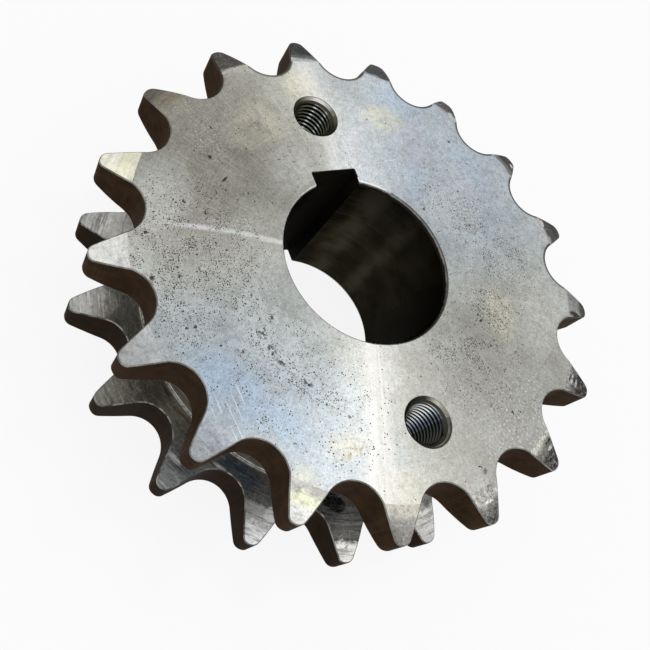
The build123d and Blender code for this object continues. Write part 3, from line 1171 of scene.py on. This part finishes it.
def countersink():
    f = Finish("countersink")
    cloud = f.noise(500)
    grain = f.noise(2400, 2.0, 0.7, seed=8.0)
    # Painted light and shade: tones that change with the angle round each hole
    near_keyway = [
        (167, (0.05, 0.048, 0.03)), (118, (0.16, 0.16, 0.10)), (90, (0.42, 0.40, 0.37)),
        (64, (1.0, 0.93, 0.93)), (38, (0.75, 0.74, 0.70)), (14, (0.28, 0.28, 0.23)),
        (-12, (0.15, 0.15, 0.11)), (-52, (0.06, 0.06, 0.04)),
    ]
    far_one = [
        (135, (0.030, 0.028, 0.020)), (98, (0.045, 0.043, 0.033)), (70, (0.06, 0.058, 0.045)),
        (54, (0.45, 0.44, 0.39)), (38, (0.72, 0.70, 0.62)), (12, (0.36, 0.35, 0.31)),
        (-20, (0.17, 0.165, 0.14)), (-50, (0.34, 0.32, 0.26)), (-75, (0.80, 0.74, 0.60)),
        (-110, (0.36, 0.34, 0.28)),
    ]
    f.tone, off_axis = round_hole(f, near_keyway, far_one)
    below = f.y.ramp((1 - HOLE_CENTRE) * MM, -(HOLE_CENTRE + 2) * MM)
    outer = off_axis.ramp(6.45 * MM, 6.6 * MM)
    f.coat(below * outer * 0.85, (0.05, 0.047, 0.035))
    darker = f.darker(0.5)
    f.coat(cloud.ramp(0.58, 0.40) * 0.4, darker)
    f.coat(grain.ramp(0.50, 0.62) * 0.5, darker)
    rings = f.noise(1.0, 2.0, 0.6, f.vector(0.0, 0.0, f.z * 3200), 3.0)
    f.coat(rings.ramp(0.52, 0.62) * 0.5, darker)
    return f.surface(0.32 + cloud * 0.15, 1.0, f.bump(rings, 0.006))


def tapped_thread():
    """Crests with painted glints along two lines, dimmer flanks, and dark roots."""
    f = Finish("tapped_thread")
    # Painted glints and shade: tones that change with the angle round each hole
    near_keyway = [
        (150, (0.05, 0.05, 0.03)), (90, (0.10, 0.10, 0.065)), (68, (0.16, 0.16, 0.12)),
        (59, (1.0, 1.0, 1.0)), (51, (0.30, 0.30, 0.26)), (28, (0.22, 0.22, 0.19)),
        (21, (0.62, 0.64, 0.64)), (12, (0.12, 0.12, 0.09)), (-20, (0.07, 0.07, 0.045)),
        (-90, (0.05, 0.05, 0.03)),
    ]
    far_one = [
        (150, (0.06, 0.06, 0.05)), (100, (0.20, 0.20, 0.20)), (68, (0.62, 0.63, 0.66)),
        (55, (1.0, 1.0, 1.0)), (38, (1.0, 1.0, 1.0)), (26, (0.48, 0.54, 0.66)),
        (12, (0.13, 0.145, 0.18)), (-6, (0.06, 0.064, 0.062)), (-60, (0.05, 0.05, 0.04)),
    ]
    f.tone, off_axis = round_hole(f, near_keyway, far_one)
    depth = off_axis.ramp(5.25 * MM, 5.95 * MM)
    cloud = f.noise(500)
    f.coat(cloud.ramp(0.7, 0.3) * 0.4, f.darker(0.4))
    # Darker in the roots of the thread, less so near both ends
    root_tone = (0.012, 0.011, 0.010)
    root_tone = f.blend(f.near_end(2.0, 1.2), root_tone, (0.06, 0.06, 0.047))
    f.coat(depth.ramp(0.0, 0.5), root_tone)
    return f.surface(0.16 + cloud * 0.12 + depth * 0.25, 1.0)


materials = [
    turned_face(),
    turned_side("bevelled_teeth", BEVELS, 0.25, 0.34, BEVEL_SCUFFS, 0.4, BEVEL_MARKS_AND_GLINTS),
    broken_edge(),
    # Tooth flanks: dark brown, partly a painted reflection of the brown ground
    dark_cut_wall("tooth_flank", (0.026, 0.0135, 0.0062), (0.050, 0.028, 0.014), 0.6, 0.03, along_axis),
    turned_side("relieved_side", SIDES, 0.8, 0.34, [0.3] * TEETH, 0.25, SIDE_MARKS_GLINT_AND_SHADOW, 0.85),
    turned_side(
        "groove_and_hub", HUB, 0.5, 0.36, [0.3] * TEETH,
        foot_lines=(HUB_RADIUS + 0.30, HUB_RADIUS + 0.72),
    ),
    lead_in(),
    bore_wall(),
    # Keyway walls: near black, partly painted shade
    dark_cut_wall("keyway_wall", (0.005, 0.004, 0.0025), (0.012, 0.009, 0.006), 0.65, 0.04, along_axis),
    countersink(),
    tapped_thread(),
]


# ---- The piece and the scene

sprocket = placed("duplex_sprocket", sprocket_mesh(materials))
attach(sprocket, "root")
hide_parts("sprocket")

# Camera: above the free face, over its -X -Y side
CAMERA_PLACE = Vector((-122.77, -67.59, 208.06))
CAMERA_AIM = Vector((-40.97, -13.19, 48.0))
CAMERA_ROLL = radians(41.8)
camera_data = bpy.data.cameras.new("camera")
camera_data.sensor_width = 36
camera_data.lens = 43.4
camera_data.shift_x = 0.1187
camera_data.shift_y = 0.0048
camera_data.clip_start = 0.01
camera = placed("camera", camera_data)
look = (CAMERA_AIM - CAMERA_PLACE).to_track_quat("-Z", "Y").to_matrix()
turned = look @ Matrix.Rotation(CAMERA_ROLL, 3, "Z")
camera.matrix_world = Matrix.Translation(CAMERA_PLACE * MM) @ turned.to_4x4()
bpy.context.scene.camera = camera
bpy.context.scene.view_settings.view_transform = "Standard"


LAMP_REACH = 1.5


def lamp(name, towards, size, power, tint):
    """A round soft lamp, far off in one direction and facing the sprocket."""
    data = bpy.data.lights.new(name, "AREA")
    data.shape, data.size, data.energy, data.color = "DISK", size, power, tint
    way = Vector(towards).normalized()
    facing = way.to_track_quat("Z", "Y").to_matrix().to_4x4()
    placed(name, data).matrix_world = Matrix.Translation(way * LAMP_REACH) @ facing


lamp("key_lamp", (0.473, 0.03, 0.876), 0.22, 3.0, (1.0, 0.965, 0.91))
lamp("side_lamp", (0.07, 0.47, 0.88), 0.05, 0.9, (1.0, 0.97, 0.94))

# A sky that is brightest overhead, with a low dark bank beyond the sprocket
world = bpy.data.worlds.new("studio")
bpy.context.scene.world = world
sky = Nodes(emptied(world))
east, north, height = sky.split(sky.add("ShaderNodeTexCoord", out="Generated"))
overhead = sky.add(
    "ShaderNodeValToRGB", {
        "stops": [
            (0.0, (0.65, 0.65, 0.65, 1)), (0.50, (0.68, 0.68, 0.67, 1)),
            (0.66, (0.92, 0.91, 0.86, 1)), (0.84, (0.95, 0.97, 0.97, 1)),
            (1.0, (0.84, 0.92, 1.0, 1)),
        ],
    },
    {0: height},
)
bank = far_side(east, north).ramp(0.15, 0.5) * height.ramp(0.04, 0.12) * height.ramp(0.56, 0.46)
tones = {0: bank * 0.92, 6: overhead, 7: (0.02, 0.02, 0.018, 1)}
tone = sky.add("ShaderNodeMix", {"data_type": "RGBA"}, tones, out=2)
light = sky.add("ShaderNodeBackground", {}, {"Color": tone, "Strength": 1.0})
sky.add("ShaderNodeOutputWorld", {}, {"Surface": light})

FLOOR_REACH = 2.0
floor_mesh = bpy.data.meshes.new("floor")
floor_mesh.from_pydata(
    [(x * FLOOR_REACH, y * FLOOR_REACH, 0) for x, y in ((-1, -1), (1, -1), (1, 1), (-1, 1))],
    [], [(0, 1, 2, 3)],
)
floor = placed("floor", floor_mesh)
floor_finish = bpy.data.materials.new("white_floor")
sheet = Nodes(emptied(floor_finish))
path = sheet.add("ShaderNodeLightPath")
direct = path.most(path.other("Is Glossy Ray")).most(path.other("Is Transmission Ray"))
matt = sheet.add("ShaderNodeBsdfDiffuse", {}, {"Color": (0.8, 0.8, 0.8, 1)})
glow = sheet.add("ShaderNodeEmission", {}, {"Color": (1, 1, 1, 1), "Strength": 1.0})
both = sheet.add("ShaderNodeMixShader", {}, {0: direct * 0.88, 1: matt, 2: glow})
sheet.add("ShaderNodeOutputMaterial", {}, {"Surface": both})
floor_mesh.materials.append(floor_finish)
